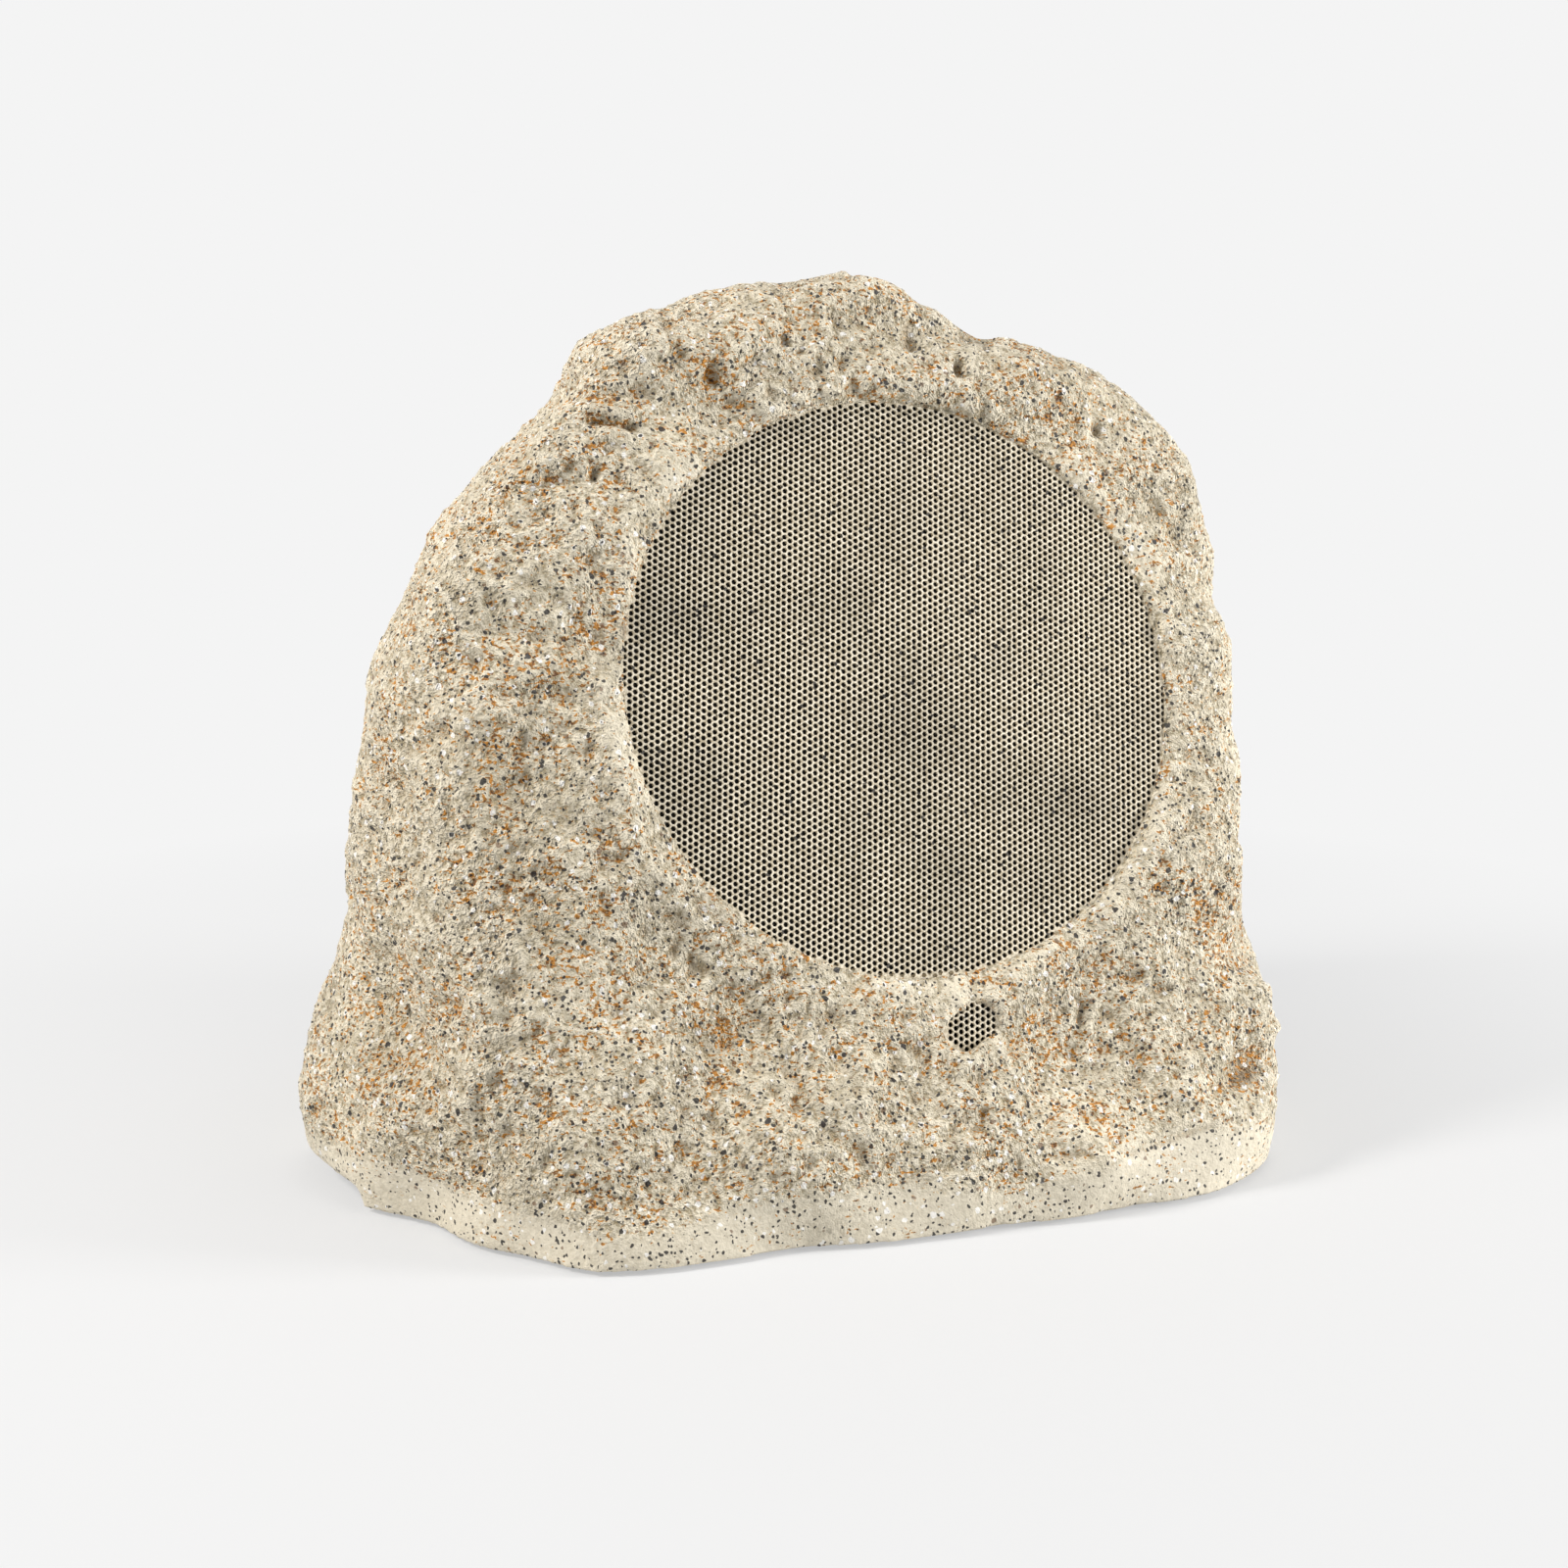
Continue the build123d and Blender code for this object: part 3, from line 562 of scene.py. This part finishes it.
def make_rock():
    """The boulder: the shell's own solid, evenly meshed, softened and roughened."""
    rock = copy_of("rock_shell", "rock")
    remesh = rock.modifiers.new("remesh", "REMESH")
    remesh.mode = "VOXEL"
    remesh.voxel_size = rock_voxel
    bake_modifiers(rock)
    core = np.array((cad_low + cad_high) / 2) * (1, 1, core_height)
    thin_out(rock, core, "cavity", cavity_share)
    thin_out(rock, core, "back", back_share)
    mesh = rock.data
    edges = edges_of(mesh)
    points = softened(points_of(mesh), edges)
    set_points(mesh, points)

    # relief on the outer side: lumps, chips and grain, less on the skirt and by the collar
    normals = normals_of(mesh)
    outer = (normals * (points - core)).sum(1) > 0
    collar, depth = from_axis(points, grille_middle)
    vent = from_axis(points, window_middle)[0]
    lip = step(*lip_fade, collar - grille_radius) * step(*vent_lip_fade, vent - window_radius)
    lip *= 1 - (1 - step(*plain_land, collar - grille_radius)) * step(*plain_land_depth, depth)
    wave = skirt_wave * np.sin(points[:, 0] / skirt_wave_length)
    skirt = step(*skirt_fade, points[:, 2] + wave)
    crest = step(*crest_fade, points[:, 2])
    lumps = np.zeros(len(points))
    chips = np.zeros(len(points))
    grain = np.zeros(len(points))
    zone = np.zeros(len(points))
    for i in np.flatnonzero(outer):
        place = Vector(points[i])
        lumps[i] = noise.fractal(place / lump_size, *lump_noise)
        chips[i] = noise.ridged_multi_fractal(place / chip_size, *chip_noise) - chip_level
        grain[i] = noise.fractal(place / grain_size, *grain_noise)
        zone[i] = noise.fractal(place / zone_size + zone_shift, *zone_noise)
    rough = np.clip(zone_middle + zone_swing * zone, zone_least, 1)
    rough *= from_least(skirt_rough, skirt) * (1 + crest_gain * crest)
    rough *= from_least(collar_rough, step(*collar_fade, collar - grille_radius))
    rise = lump_height * lumps * from_least(skirt_lumps, skirt)
    rise += chip_height * chips * rough * skirt
    rise += grain_height * grain * rough
    rise = (rise * lip + mark_rise(points, normals) * from_least(mark_least, lip)) * outer
    points += normals * rise[:, None]
    pull_lips(points, grain)
    points[:, 2] = np.maximum(points[:, 2], foot_lift * (points[:, 2] > 0))
    set_points(mesh, points)

    # numbers for the paint: how deep a point lies in a hollow, how rough it is, and how rusty and how darkened by
    # painted shade it is
    soft = points.copy()
    for _ in range(hollow_rounds):
        soft += smooth_share * (mean_of_neighbours(soft, edges) - soft)
    hollow = ((soft - points) * normals_of(mesh)).sum(1) / MM
    keep_as(mesh, "hollow", np.clip(hollow, -1, 1) * outer)
    keep_as(mesh, "rough", rough)
    ring = 1 - step(*rust_ring, np.abs(collar - grille_radius))
    keep_as(mesh, "tint", tint_of(points, rust_and_shade_spots) * skirt + ring * step(*rust_ring_zone, zone))
    mesh.shade_smooth()
    return rock


def perforated(name, middle, radius, depth, hole_reach):
    """A round sheet with staggered holes through it, closed round its rim."""
    column = hole_pitch * math.sqrt(3) / 2
    count = int(hole_reach / column)
    corners = [(math.cos(math.radians(60 * k)), math.sin(math.radians(60 * k))) for k in range(6)]
    mesh = bmesh.new()

    def point(x, y, back):
        """A new point of the sheet, at a depth behind its front."""
        turned_x = x * math.cos(lattice_turn) - y * math.sin(lattice_turn)
        turned_y = x * math.sin(lattice_turn) + y * math.cos(lattice_turn)
        return mesh.verts.new(middle + across * turned_x + upward * turned_y - outward * back)

    holes = {}
    for i in range(-count, count + 1):
        for j in range(-2 * count, 2 * count + 1):
            x = i * column
            y = (j + 0.5 * (i % 2)) * hole_pitch
            if math.hypot(x, y) < hole_reach:
                ring = [(x + hole_corner * c, y + hole_corner * s) for c, s in corners]
                holes[i, j] = [[point(*place, back) for place in ring] for back in (0, sheet)]

    def beside(i, j, k):
        """The hole beside a hole, past its edge k."""
        up = i % 2
        moves = [(1, up), (0, 1), (-1, up), (-1, up - 1), (0, -1), (1, up - 1)]
        return holes.get((i + moves[k % 6][0], j + moves[k % 6][1]))

    # between the holes: strips along their edges and triangles where three holes meet; then the holes' walls
    for (i, j), sides in holes.items():
        for face in (0, 1):
            ring = sides[face]
            for k in range(3):
                near = beside(i, j, k)
                if near:
                    land = [ring[k], near[face][(k + 4) % 6], near[face][(k + 3) % 6], ring[k + 1]]
                    mesh.faces.new(land if face == 0 else land[::-1])
            for k in (0, 1):
                one = beside(i, j, k - 1)
                other = beside(i, j, k)
                if one and other:
                    land = [ring[k], one[face][(k + 2) % 6], other[face][(k + 4) % 6]]
                    mesh.faces.new(land if face == 0 else land[::-1])
        # the walls take the second material, the holes' painted shade
        for k in range(6):
            after = (k + 1) % 6
            wall = mesh.faces.new([sides[0][k], sides[0][after], sides[1][after], sides[1][k]])
            wall.material_index = 1

    # the rim, and the land between it and the outer holes
    rings = []
    turns = [2 * math.pi * n / rim_steps for n in range(rim_steps)]
    for reach, back in ((radius, 0), (radius, depth), (radius - sheet, depth), (radius - sheet, sheet)):
        rings.append([point(reach * math.cos(turn), reach * math.sin(turn), back) for turn in turns])
    for one, other in zip(rings, rings[1:]):
        for n in range(rim_steps):
            after = (n + 1) % rim_steps
            mesh.faces.new([one[n], other[n], other[after], one[after]])
    for back in (0, sheet):
        level = middle - outward * back
        border = [
            edge
            for edge in mesh.edges
            if edge.is_boundary and all(abs((v.co - level).dot(outward)) < level_slack for v in edge.verts)
        ]
        bmesh.ops.triangle_fill(mesh, edges=border, use_beauty=True)
    bmesh.ops.recalc_face_normals(mesh, faces=mesh.faces)
    data = bpy.data.meshes.new(name)
    mesh.to_mesh(data)
    mesh.free()
    piece = bpy.data.objects.new(name, data)
    bpy.context.scene.collection.objects.link(piece)
    return piece


class Finish:
    """A material's node tree, with short calls for the nodes that it is made of."""

    def __init__(self, name):
        self.material = bpy.data.materials.new(name)
        self.material.use_nodes = True
        self.tree = self.material.node_tree
        self.surface = self.tree.nodes["Principled BSDF"]
        self.place = self.add("TexCoord").outputs["Object"]

    def give(self, socket, value):
        """Sets a socket, or links it to another node's output."""
        if isinstance(value, bpy.types.NodeSocket):
            self.tree.links.new(value, socket)
        else:
            socket.default_value = value

    def add(self, kind, inputs=None, **settings):
        """A new node with its settings and inputs."""
        made = self.tree.nodes.new("ShaderNode" + kind)
        for name, value in settings.items():
            setattr(made, name, value)
        for name, value in (inputs or {}).items():
            self.give(made.inputs[name], value)
        return made

    def set(self, **inputs):
        """Sets the shader's own sockets; an underline in a name stands for a space."""
        for name, value in inputs.items():
            self.give(self.surface.inputs[name.replace("_", " ")], value)

    def noise(self, size, detail=2.0, roughness=0.5, place=None):
        """Cloudy values from 0 to 1, with features of about a size."""
        inputs = {"Vector": place or self.place, "Scale": 1 / size}
        inputs |= {"Detail": detail, "Roughness": roughness}
        return self.add("TexNoise", inputs).outputs["Fac"]

    def math(self, operation, one, other=0.0):
        """A sum, product and the like of two values."""
        made = self.add("Math", operation=operation)
        self.give(made.inputs[0], one)
        self.give(made.inputs[1], other)
        return made.outputs[0]

    def ramp(self, value, low, high, to_low=0.0, to_high=1.0):
        """A value carried over from one range to another, and held at its ends."""
        inputs = {"Value": value, "From Min": low, "From Max": high, "To Min": to_low, "To Max": to_high}
        return self.add("MapRange", inputs).outputs["Result"]

    def mix(self, one, other, share):
        """One colour over another, by a share."""
        return self.add("MixRGB", {"Fac": share, "Color1": one, "Color2": other}).outputs["Color"]

    def warped(self, size, reach):
        """The place, shaken by noise, so that what follows has uneven edges."""
        inputs = {"Vector": self.place, "Scale": 1 / size, "Detail": 0.0}
        cloud = self.add("TexNoise", inputs).outputs["Color"]
        shift = self.add("VectorMath", {0: cloud, 1: (0.5, 0.5, 0.5)}, operation="SUBTRACT").outputs[0]
        reaches = (reach, reach, reach)
        scaled = self.add("VectorMath", {0: shift, 1: reaches}, operation="MULTIPLY").outputs[0]
        return self.add("VectorMath", {0: self.place, 1: scaled}, operation="ADD").outputs[0]

    def cells(self, gap, place):
        """Scattered places about a gap apart: three random numbers for each, and how far it is, in gaps."""
        made = self.add("TexVoronoi", {"Vector": place, "Scale": 1 / gap})
        picks = self.add("SeparateColor", {"Color": made.outputs["Color"]}).outputs
        return picks, made.outputs["Distance"]

    def specks(self, pick, distance, start, end, reach):
        """Specks at places whose random number lies past a start, with their full radius at the end."""
        limit = self.ramp(pick, start, end, 0, reach)
        return self.ramp(self.math("SUBTRACT", limit, distance), 0, speck_edge)

    def attribute(self, name):
        """A number stored at the mesh's points."""
        return self.add("Attribute", attribute_name=name).outputs["Fac"]

    def bump(self, height, distance, strength=1.0):
        """Fine relief from a height in units of a distance."""
        inputs = {"Height": height, "Distance": distance, "Strength": strength}
        self.set(Normal=self.add("Bump", inputs).outputs["Normal"])


def linear(red, green, blue):
    """A screen colour, 0 to 255, as the shader wants it."""
    parts = [part / 255 for part in (red, green, blue)]
    return (*[p / 12.92 if p <= 0.04045 else ((p + 0.055) / 1.055) ** 2.4 for p in parts], 1)


crumb_shade = linear(154, 141, 112)
crumb_light = linear(229, 220, 199)
pale_beige = linear(219, 211, 192)
stone_grey = linear(158, 147, 122)
# painted shade, warm brown, for the rock's hollows
hollow_painted_shade = linear(156, 130, 92)
rust = linear(190, 126, 30)
deep_rust = linear(96, 57, 15)
rust_halo = linear(210, 179, 128)
speck_black = linear(30, 28, 28)
speck_white = linear(250, 249, 246)
grille_shade = linear(184, 172, 147)
grille_light = linear(240, 231, 211)
grille_cloud = linear(118, 109, 90)
# painted shade: near black for the holes' walls, which lie in shade
hole_painted_shade = [0.006, 0.005, 0.004]


def rock_finish():
    """Speckled stone paint: crumbs of beige and cream, black, white and rust flecks, painted highlight on ridges,
    painted shade in hollows and in dark spots, and a rough skin.
    """
    paint = Finish("rock_paint")
    shaken = paint.warped(shake_size, shake_reach)
    flat = paint.add("VectorMath", {0: shaken, 1: fleck_stretch}, operation="MULTIPLY").outputs[0]
    rough = paint.attribute("rough")
    hollow = paint.attribute("hollow")
    tint = paint.attribute("tint")
    crumbs = paint.noise(crumb_size, 2, 0.75)
    zone = paint.noise(paint_zone_size, 2, 0.6)
    base = paint.mix(crumb_shade, crumb_light, paint.ramp(crumbs, *crumb_ramp))
    base = paint.mix(base, stone_grey, paint.ramp(zone, *grey_ramp))
    base = paint.mix(pale_beige, base, paint.ramp(rough, *skirt_ramp))
    # painted highlight on ridges and painted shade in hollows
    base = paint.mix(base, crumb_light, paint.ramp(hollow, *ridge_highlight_ramp))
    base = paint.mix(base, hollow_painted_shade, paint.ramp(hollow, *hollow_shade_ramp))
    # painted shade and rust: the listed spots darken the paint, the strongest to deep brown in the shaded pockets
    base = paint.mix(base, crumb_shade, paint.ramp(tint, *shade_and_stain_ramp))
    base = paint.mix(base, deep_rust, paint.ramp(tint, *deep_shade_and_stain_ramp))
    flecks = paint.noise(fleck_size, 1, 0.55, flat)
    rust_edge = paint.ramp(zone, *rust_zone_ramp)
    rust_edge = paint.math("ADD", rust_edge, paint.ramp(rough, *rust_rough_ramp))
    rust_edge = paint.math("SUBTRACT", rust_edge, paint.math("MULTIPLY", hollow, rust_by_hollow))
    rust_edge = paint.math("SUBTRACT", rust_edge, paint.math("MULTIPLY", tint, rust_by_tint))
    over_edge = paint.math("SUBTRACT", flecks, rust_edge)
    base = paint.mix(base, rust_halo, paint.ramp(over_edge, *halo_ramp))
    rust_mask = paint.ramp(over_edge, *rust_ramp)
    rust_tone = paint.mix(rust, deep_rust, paint.ramp(crumbs, *rust_tone_ramp))
    base = paint.mix(base, rust_tone, paint.math("MULTIPLY", rust_mask, rust_cover))
    picks, distance = paint.cells(coarse_gap, shaken)
    white = paint.specks(picks[0], distance, *white_specks)
    base = paint.mix(base, speck_white, paint.math("MULTIPLY", white, white_cover))
    pits = paint.specks(picks[0], distance, *pit_specks)
    base = paint.mix(base, deep_rust, paint.math("MULTIPLY", pits, pit_cover))
    coarse = paint.specks(picks[1], distance, *coarse_specks)
    coarse = paint.math("MULTIPLY", coarse, paint.ramp(rough, *coarse_ramp))
    picks, distance = paint.cells(fine_gap, shaken)
    fine = paint.specks(picks[0], distance, *fine_specks)
    black = paint.math("MAXIMUM", fine, coarse)
    base = paint.mix(base, speck_black, paint.math("MULTIPLY", black, black_cover))
    paint.set(Base_Color=base, Roughness=paint.ramp(crumbs, *gloss_ramp))
    strong = paint.ramp(rough, *relief_ramp)
    paint.bump(paint.math("MULTIPLY", crumbs, strong), skin_relief)
    return paint.material


def grille_finish():
    """The rock's paint on metal: beige with black specks and cloudy dark patches."""
    paint = Finish("grille_paint")
    shaken = paint.warped(grille_shake_size, grille_shake_reach)
    grain = paint.noise(grille_grain_size, 2, 0.6)
    base = paint.mix(grille_shade, grille_light, paint.ramp(grain, *grille_tone_ramp))
    clouds = paint.math("ADD", paint.attribute("tint"), paint.noise(grille_cloud_size, 1, 0.55))
    base = paint.mix(base, grille_cloud, paint.ramp(clouds, *grille_cloud_ramp))
    picks, distance = paint.cells(grille_gap, shaken)
    fine = paint.specks(picks[0], distance, *grille_specks)
    base = paint.mix(base, speck_black, paint.math("MULTIPLY", fine, grille_black_cover))
    paint.set(Base_Color=base, Roughness=paint.ramp(grain, *grille_gloss_ramp))
    return paint.material


# Finishes of the record's slots
metals = ("brushed_steel", "aluminium", "brass")
cloud_size = 12 * MM
grain_part = 0.6
cloud_part = 0.4
pale_gain = 1.25
pale_lift = 0.003
dark_gain = 0.75
tone_range = (0.3, 0.6)
gloss_range = (0.3, 0.7)
smoother = 0.06
rougher = 0.08
grain_strength = 0.6

# Classes of finish: roughness, grain and relief in millimetres, mirror level
skins = {
    "painted_metal": (0.45, 0.4, 0.06, 0.5),
    "brushed_steel": (0.32, 0.5, 0.04, 0.5),
    "aluminium": (0.35, 0.5, 0.03, 0.5),
    "brass": (0.3, 0.6, 0.05, 0.5),
    "rubber": (0.8, 0.5, 0.1, 0.3),
    "matte_plastic": (0.6, 0.6, 0.08, 0.4),
    "gloss_plastic": (0.2, 2.0, 0.03, 0.5),
    "fabric": (0.95, 0.5, 0.2, 0.1),
    "ceramic": (0.7, 0.8, 0.12, 0.4),
}


def plain_finish(entry):
    """A slot's finish from its record: its colour with fine uneven tone, gloss and grain of its class."""
    paint = Finish(entry["slot"])
    roughness, grain_mm, relief_mm, mirror = skins[entry["class"]]
    grain = paint.noise(grain_mm * MM, 3, 0.6)
    clouds = paint.noise(cloud_size, 2, 0.5)
    grain_tone = paint.math("MULTIPLY", grain, grain_part)
    tone = paint.math("ADD", grain_tone, paint.math("MULTIPLY", clouds, cloud_part))
    colour = (*entry["base_color"], 1)
    pale = (*[min(1, pale_gain * part + pale_lift) for part in entry["base_color"]], 1)
    dark = (*[dark_gain * part for part in entry["base_color"]], 1)
    paint.set(Base_Color=paint.mix(dark, paint.mix(colour, pale, clouds), paint.ramp(tone, *tone_range)))
    paint.set(Roughness=paint.ramp(grain, *gloss_range, roughness - smoother, roughness + rougher))
    paint.set(Metallic=1.0 if entry["class"] in metals else 0.0, Specular_IOR_Level=mirror)
    paint.bump(grain, relief_mm * MM, grain_strength)
    return paint.material


def dress(piece, *materials):
    """Gives a piece its materials."""
    piece.data.materials.clear()
    for material in materials:
        piece.data.materials.append(material)


rock = make_rock()
dress(rock, rock_finish())
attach(rock, "enclosure")
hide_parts("rock_shell")

grille_paint = grille_finish()
# the holes' walls are painted near black, as painted shade, on the matte fabric finish
hole_wall_shade = plain_finish({"slot": "hole_wall_shade", "class": "fabric", "base_color": hole_painted_shade})
for name, node, middle, radius, depth, plain_rim in (
    ("grille_mesh", "grille", grille_middle, grille_radius, grille_rim_depth, grille_plain_rim),
    ("vent_mesh", "vent_window", window_middle, window_radius, vent_rim_depth, vent_plain_rim),
):
    piece = perforated(name, middle, radius, depth, radius - plain_rim)
    keep_as(piece.data, "tint", tint_of(points_of(piece.data), grille_clouds))
    dress(piece, grille_paint, hole_wall_shade)
    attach(piece, "enclosure")
    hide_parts(node)

finishes = {entry["slot"]: entry for entry in frame["record"]["materials"]}
made_finishes = {}
for subpart in frame["record"]["subparts"]:
    slot = subpart["material_slot"]
    if slot not in made_finishes:
        made_finishes[slot] = plain_finish(finishes[slot])
    dress(frame["nodes"][subpart["node"]], made_finishes[slot])

for name, place, side, power, colour in soft_boxes:
    lamp_data = bpy.data.lights.new(name, "AREA")
    lamp_data.shape = "SQUARE"
    lamp_data.size = side
    lamp_data.energy = power
    lamp_data.color = colour
    lamp = bpy.data.objects.new(name, lamp_data)
    lamp.location = place
    lamp.rotation_mode = "QUATERNION"
    lamp.rotation_quaternion = (light_target - Vector(place)).to_track_quat("-Z", "Y")
    bpy.context.scene.collection.objects.link(lamp)


def seen_by(tree):
    """1 for rays that come straight, mirrored or bent from the camera, 0 for light."""
    paths = tree.nodes.new("ShaderNodeLightPath")
    seen = paths.outputs["Is Camera Ray"]
    for ray in ("Is Glossy Ray", "Is Transmission Ray"):
        either = tree.nodes.new("ShaderNodeMath")
        either.operation = "MAXIMUM"
        tree.links.new(seen, either.inputs[0])
        tree.links.new(paths.outputs[ray], either.inputs[1])
        seen = either.outputs[0]
    return seen


# Pale surroundings, and a floor that keeps the shadow and fades into them
world = bpy.data.worlds.new("studio")
bpy.context.scene.world = world
world.use_nodes = True
world_tree = world.node_tree
world_tree.nodes["Background"].inputs["Color"].default_value = sky_tone
world_tree.nodes["Background"].inputs["Strength"].default_value = sky_strength
seen_light = world_tree.nodes.new("ShaderNodeBackground")
seen_light.inputs["Color"].default_value = background
chosen = world_tree.nodes.new("ShaderNodeMixShader")
world_tree.links.new(seen_by(world_tree), chosen.inputs["Fac"])
world_tree.links.new(world_tree.nodes["Background"].outputs[0], chosen.inputs[1])
world_tree.links.new(seen_light.outputs[0], chosen.inputs[2])
world_tree.links.new(chosen.outputs[0], world_tree.nodes["World Output"].inputs["Surface"])

floor_data = bpy.data.meshes.new("floor")
corner_signs = ((-1, -1), (1, -1), (1, 1), (-1, 1))
floor_corners = [(x * floor_half, y * floor_half, 0) for x, y in corner_signs]
floor_data.from_pydata(floor_corners, [], [(0, 1, 2, 3)])
floor = bpy.data.objects.new("floor", floor_data)
bpy.context.scene.collection.objects.link(floor)
ground = Finish("floor")
ground.set(Base_Color=floor_tone, Roughness=floor_roughness)
glow = ground.add("Emission", {"Color": background, "Strength": 1.0})
reach_from = ground.add("VectorMath", {0: ground.place}, operation="LENGTH").outputs["Value"]
fade_share = ground.math("MULTIPLY", ground.ramp(reach_from, *floor_fade), seen_by(ground.tree))
fade = ground.add("MixShader", {"Fac": fade_share})
ground.tree.links.new(ground.surface.outputs[0], fade.inputs[1])
ground.tree.links.new(glow.outputs[0], fade.inputs[2])
ground.tree.links.new(fade.outputs[0], ground.tree.nodes["Material Output"].inputs["Surface"])
dress(floor, ground.material)

bpy.context.scene.view_settings.view_transform = "Standard"
